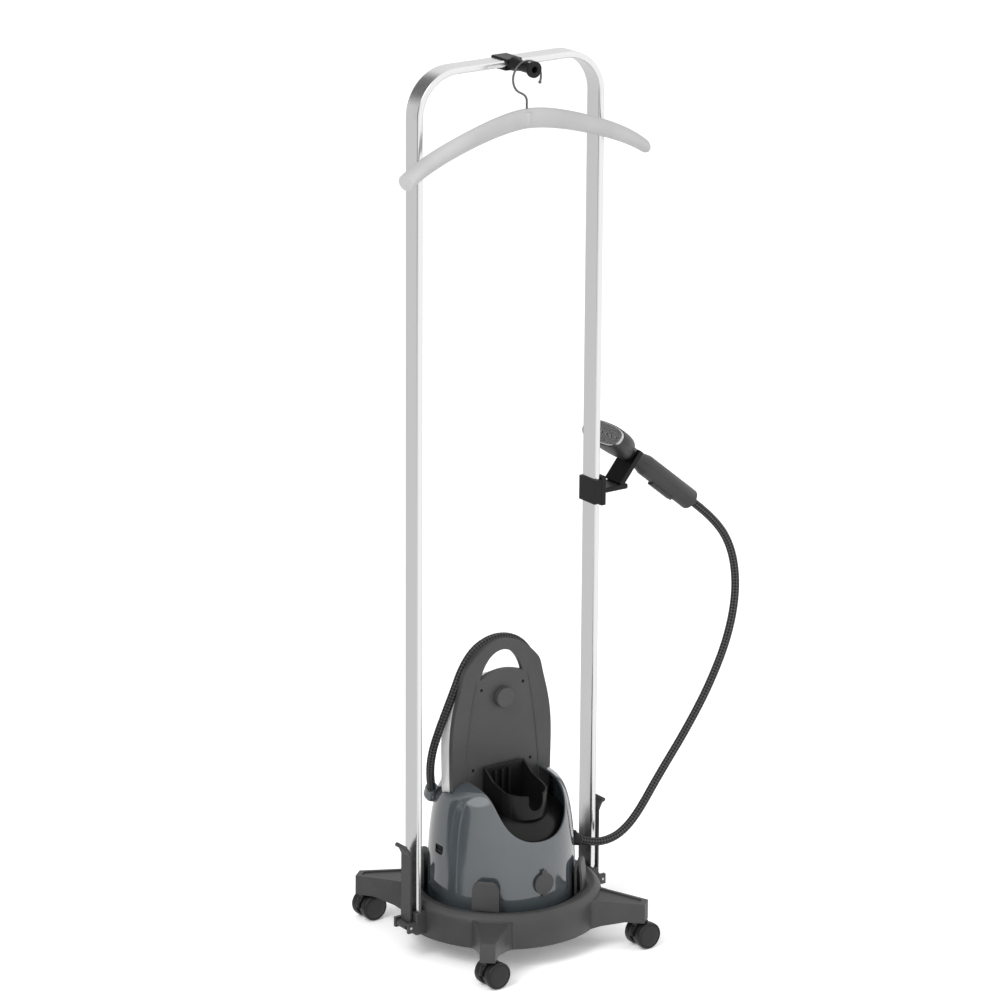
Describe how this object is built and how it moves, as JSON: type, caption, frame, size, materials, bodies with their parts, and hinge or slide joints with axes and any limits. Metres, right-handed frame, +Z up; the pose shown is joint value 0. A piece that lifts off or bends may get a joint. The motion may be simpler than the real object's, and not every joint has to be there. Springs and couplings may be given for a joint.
{
  "type": "garment steamer",
  "caption": "Upright garment steamer: steam unit in a wheeled four-armed tray with an inverted-U hanging frame, hanger, hose and handset.",
  "frame": {"origin": "on the floor under the centre of the tray", "axes": "+Z up, front faces -Y, +X to the object's right as seen from the front"},
  "size_m": [0.6772, 0.3706, 1.3863],
  "materials": {
    "tray_plastic": "fine textured matte",
    "frame_aluminium": "brushed",
    "black_plastic": "satin",
    "handset_plastic": "satin",
    "panel_plastic": "fine textured matte",
    "shell_gloss": "glossy",
    "steel": "polished",
    "boiler_metal": "brushed",
    "board_green": "solder mask",
    "rubber": "matte",
    "hose_braid": "braided",
    "hanger_plastic": "satin",
    "castor_plastic": "satin"
  },
  "bodies": {
    "steamer": {"base_tray": "tray_plastic", "retaining_tabs": "tray_plastic", "left_foot_bracket": "tray_plastic", "right_foot_bracket": "tray_plastic", "latch_pins": "steel", "frame_tube": "frame_aluminium", "peg_saddle": "black_plastic", "peg_under_clamp": "black_plastic", "peg_screws": "steel", "unit_shell": "shell_gloss", "unit_deck": "panel_plastic", "unit_base": "black_plastic", "unit_feet": "rubber", "switch_frame": "black_plastic", "boiler": "boiler_metal", "heating_element": "steel", "solenoid_valve": "boiler_metal", "control_board": "board_green", "back_panel": "panel_plastic", "back_panel_cover": "panel_plastic", "panel_screws": "steel", "hose_gland": "shell_gloss", "hose_collar": "black_plastic", "hose_grommet": "black_plastic", "steam_hose": "hose_braid", "steam_hose_loop": "hose_braid", "holder_bracket": "black_plastic", "holder_clamp_plate": "black_plastic", "holder_screws": "steel"},
    "left_lever": {"left_latch_lever": "tray_plastic"},
    "right_lever": {"right_latch_lever": "tray_plastic"},
    "hook": {"hanger_hook": "steel"},
    "hanger": {"hanger_body": "hanger_plastic"},
    "handset": {"handset_shell_upper": "handset_plastic", "handset_shell_lower": "handset_plastic", "handset_trigger_pin": "steel", "handset_steam_plate": "steel", "handset_steam_pipe": "boiler_metal", "handset_hose_socket": "black_plastic"},
    "trigger": {"handset_trigger": "handset_plastic"},
    "knob": {"steam_knob": "panel_plastic"},
    "rocker": {"switch_rocker": "black_plastic"},
    "cap": {"drain_cap": "panel_plastic"},
    "castor_front_left": {"castor_front_left_housing": "castor_plastic", "castor_front_left_pins": "steel"},
    "castor_front_left_wheel_front": {"castor_front_left_wheel_front": "castor_plastic"},
    "castor_front_left_wheel_rear": {"castor_front_left_wheel_rear": "castor_plastic"},
    "castor_front_right": {"castor_front_right_housing": "castor_plastic", "castor_front_right_pins": "steel"},
    "castor_front_right_wheel_front": {"castor_front_right_wheel_front": "castor_plastic"},
    "castor_front_right_wheel_rear": {"castor_front_right_wheel_rear": "castor_plastic"},
    "castor_rear_left": {"castor_rear_left_housing": "castor_plastic", "castor_rear_left_pins": "steel"},
    "castor_rear_left_wheel_front": {"castor_rear_left_wheel_front": "castor_plastic"},
    "castor_rear_left_wheel_rear": {"castor_rear_left_wheel_rear": "castor_plastic"},
    "castor_rear_right": {"castor_rear_right_housing": "castor_plastic", "castor_rear_right_pins": "steel"},
    "castor_rear_right_wheel_front": {"castor_rear_right_wheel_front": "castor_plastic"},
    "castor_rear_right_wheel_rear": {"castor_rear_right_wheel_rear": "castor_plastic"}
  },
  "joints": [
    {"name": "left_lever_swing", "type": "hinge", "parent": "steamer", "child": "left_lever", "pos_m": [-0.181, 0, 0.054], "axis": [0, -1, 0], "range_deg": [0, 75]},
    {"name": "right_lever_swing", "type": "hinge", "parent": "steamer", "child": "right_lever", "pos_m": [0.181, 0, 0.054], "axis": [0, 1, 0], "range_deg": [0, 75]},
    {"name": "hanger_swing", "type": "hinge", "parent": "steamer", "child": "hook", "pos_m": [0, -0.052, 1.374], "axis": [0, 1, 0], "range_deg": [-25, 25]},
    {"name": "hanger_swivel", "type": "hinge", "parent": "hook", "child": "hanger", "pos_m": [0, -0.052, 1.3], "axis": [0, 0, 1], "range_deg": [-6, 6]},
    {"name": "handset_lift", "type": "slide", "parent": "steamer", "child": "handset", "axis": [0.6281, 0, 0.7781], "range_m": [0, 0.05], "deforming": ["steam_hose"]},
    {"name": "trigger_press", "type": "hinge", "parent": "handset", "child": "trigger", "pos_m": [0.30522, 0.03, 0.6689], "axis": [0, -1, 0], "range_deg": [0, 4], "stiffness_Nm_per_rad": 0.6, "springref_deg": -2.86},
    {"name": "steam_knob_turn", "type": "hinge", "parent": "steamer", "child": "knob", "pos_m": [0, 0, 0.387], "axis": [0, -1, 0], "range_deg": [-135, 135]},
    {"name": "switch_rock", "type": "hinge", "parent": "steamer", "child": "rocker", "pos_m": [-0.10734, 0.00751, 0.159], "axis": [-0.0698, -0.9976, 0], "range_deg": [0, 10]},
    {"name": "drain_cap_turn", "type": "hinge", "parent": "steamer", "child": "cap", "pos_m": [-0.00196, -0.11198, 0.119], "axis": [-0.0175, -0.9998, 0], "range_deg": [0, 90]},
    {"name": "castor_front_left_swivel", "type": "hinge", "parent": "steamer", "child": "castor_front_left", "pos_m": [-0.141, -0.16626, 0.043], "axis": [0, 0, 1], "continuous": true},
    {"name": "castor_front_left_wheel_front_roll", "type": "hinge", "parent": "castor_front_left", "child": "castor_front_left_wheel_front", "pos_m": [-0.133, -0.16626, 0.021], "axis": [0, 1, 0], "continuous": true},
    {"name": "castor_front_left_wheel_rear_roll", "type": "hinge", "parent": "castor_front_left", "child": "castor_front_left_wheel_rear", "pos_m": [-0.133, -0.16626, 0.021], "axis": [0, 1, 0], "continuous": true},
    {"name": "castor_front_right_swivel", "type": "hinge", "parent": "steamer", "child": "castor_front_right", "pos_m": [0.141, -0.16626, 0.043], "axis": [0, 0, 1], "continuous": true},
    {"name": "castor_front_right_wheel_front_roll", "type": "hinge", "parent": "castor_front_right", "child": "castor_front_right_wheel_front", "pos_m": [0.149, -0.16626, 0.021], "axis": [0, 1, 0], "continuous": true},
    {"name": "castor_front_right_wheel_rear_roll", "type": "hinge", "parent": "castor_front_right", "child": "castor_front_right_wheel_rear", "pos_m": [0.149, -0.16626, 0.021], "axis": [0, 1, 0], "continuous": true},
    {"name": "castor_rear_left_swivel", "type": "hinge", "parent": "steamer", "child": "castor_rear_left", "pos_m": [-0.141, 0.16626, 0.043], "axis": [0, 0, 1], "continuous": true},
    {"name": "castor_rear_left_wheel_front_roll", "type": "hinge", "parent": "castor_rear_left", "child": "castor_rear_left_wheel_front", "pos_m": [-0.133, 0.16626, 0.021], "axis": [0, 1, 0], "continuous": true},
    {"name": "castor_rear_left_wheel_rear_roll", "type": "hinge", "parent": "castor_rear_left", "child": "castor_rear_left_wheel_rear", "pos_m": [-0.133, 0.16626, 0.021], "axis": [0, 1, 0], "continuous": true},
    {"name": "castor_rear_right_swivel", "type": "hinge", "parent": "steamer", "child": "castor_rear_right", "pos_m": [0.141, 0.16626, 0.043], "axis": [0, 0, 1], "continuous": true},
    {"name": "castor_rear_right_wheel_front_roll", "type": "hinge", "parent": "castor_rear_right", "child": "castor_rear_right_wheel_front", "pos_m": [0.149, 0.16626, 0.021], "axis": [0, 1, 0], "continuous": true},
    {"name": "castor_rear_right_wheel_rear_roll", "type": "hinge", "parent": "castor_rear_right", "child": "castor_rear_right_wheel_rear", "pos_m": [0.149, 0.16626, 0.021], "axis": [0, 1, 0], "continuous": true}
  ]
}
